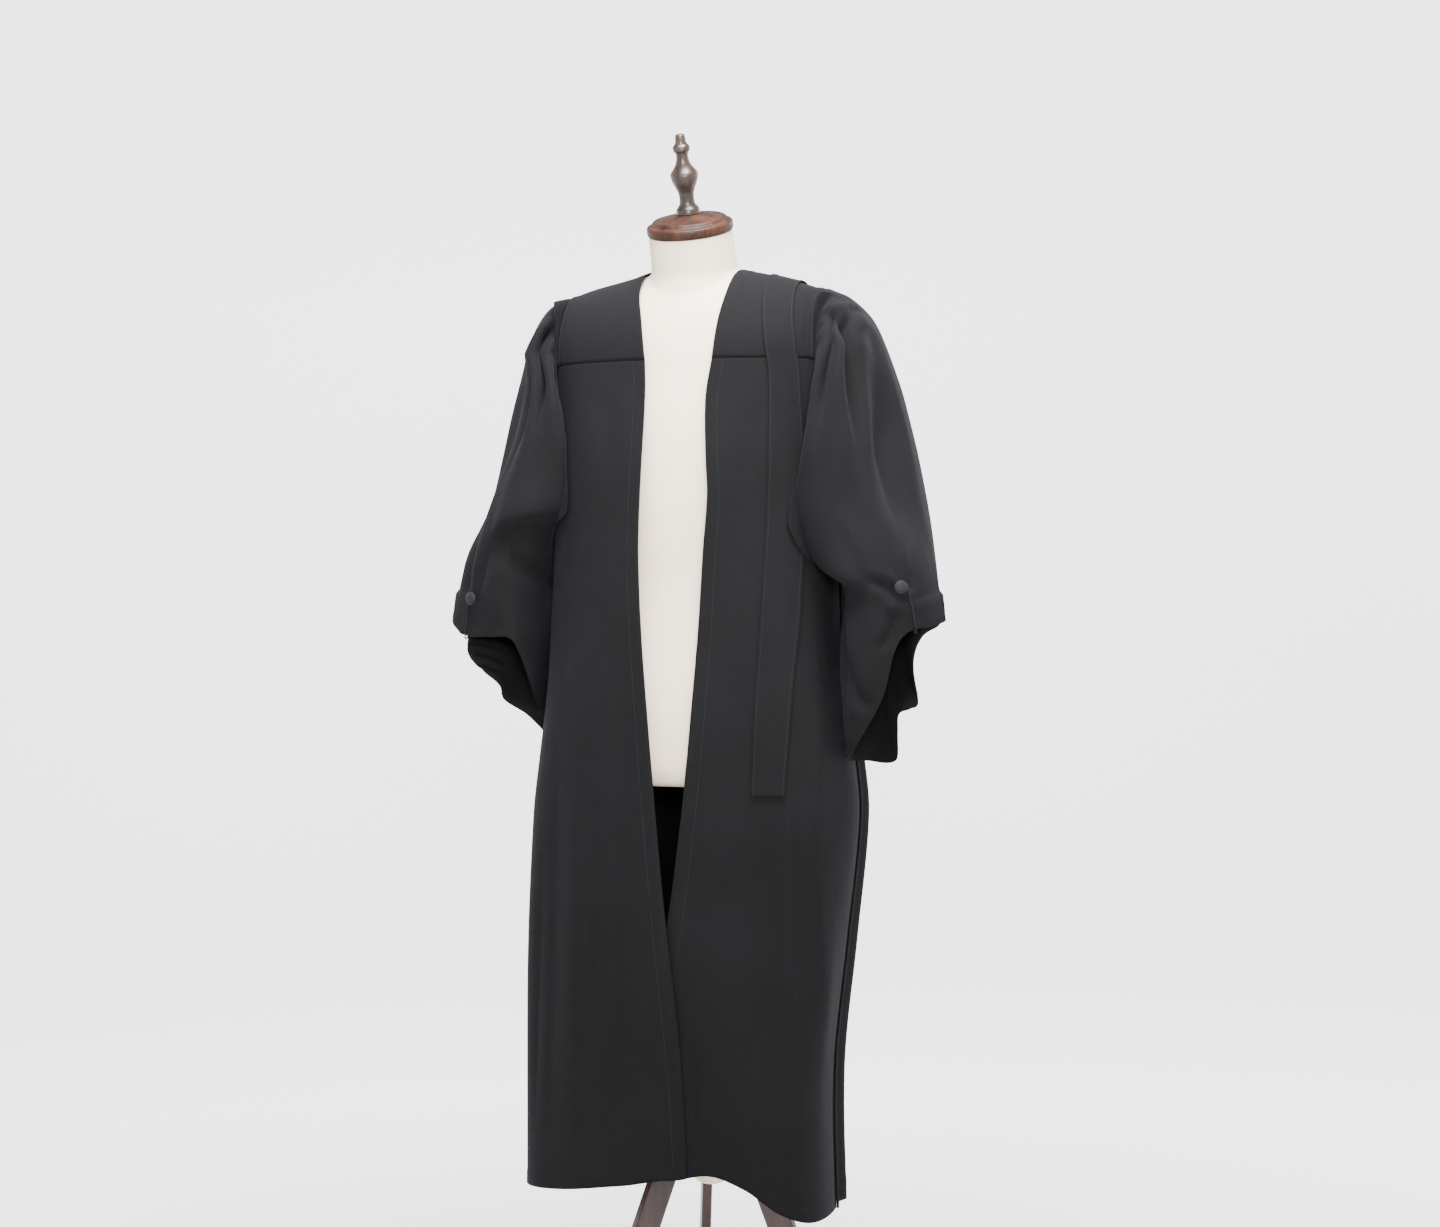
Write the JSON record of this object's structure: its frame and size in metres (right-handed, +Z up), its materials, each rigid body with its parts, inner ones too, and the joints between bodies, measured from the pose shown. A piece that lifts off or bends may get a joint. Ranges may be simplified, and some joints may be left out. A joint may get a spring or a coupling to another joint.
{
  "type": "barrister robe on a dress form and stand",
  "caption": "Black barrister's gown with yoke, gathered bell sleeves buttoned up at the hem, shoulder strip and hood, on a dress form with turned wooden cap and legs.",
  "frame": {"origin": "on the floor, at the bottom centre of the whole part's bounding box", "axes": "+Z up, -Y towards the front of the robe, +X towards the wearer's left"},
  "size_m": [0.683, 0.4077, 1.7386],
  "materials": {
    "robe_cloth": "matte black wool-like cloth with a slight blue cast",
    "button_cloth": "cloth-covered button, slightly smoother than the robe",
    "cord_thread": "twisted black thread",
    "form_cloth": "cream cloth cover, stretched smooth",
    "dark_wood": "glossy dark turned wood with reddish grain",
    "leg_wood": "reddish stained wood, satin",
    "hub_wood": "pale turned wood, satin"
  },
  "bodies": {
    "root": {"yoke": "robe_cloth", "front_left": "robe_cloth", "front_right": "robe_cloth", "back": "robe_cloth", "sleeve_left": "robe_cloth", "sleeve_right": "robe_cloth", "strip": "robe_cloth", "hood": "robe_cloth", "button_left": "button_cloth", "button_right": "button_cloth", "cord_left": "cord_thread", "cord_right": "cord_thread", "torso": "form_cloth", "neck_cap": "dark_wood", "finial": "dark_wood", "pole": "leg_wood", "hub": "hub_wood", "leg_1": "leg_wood", "leg_2": "leg_wood", "leg_3": "leg_wood"}
  },
  "joints": []
}
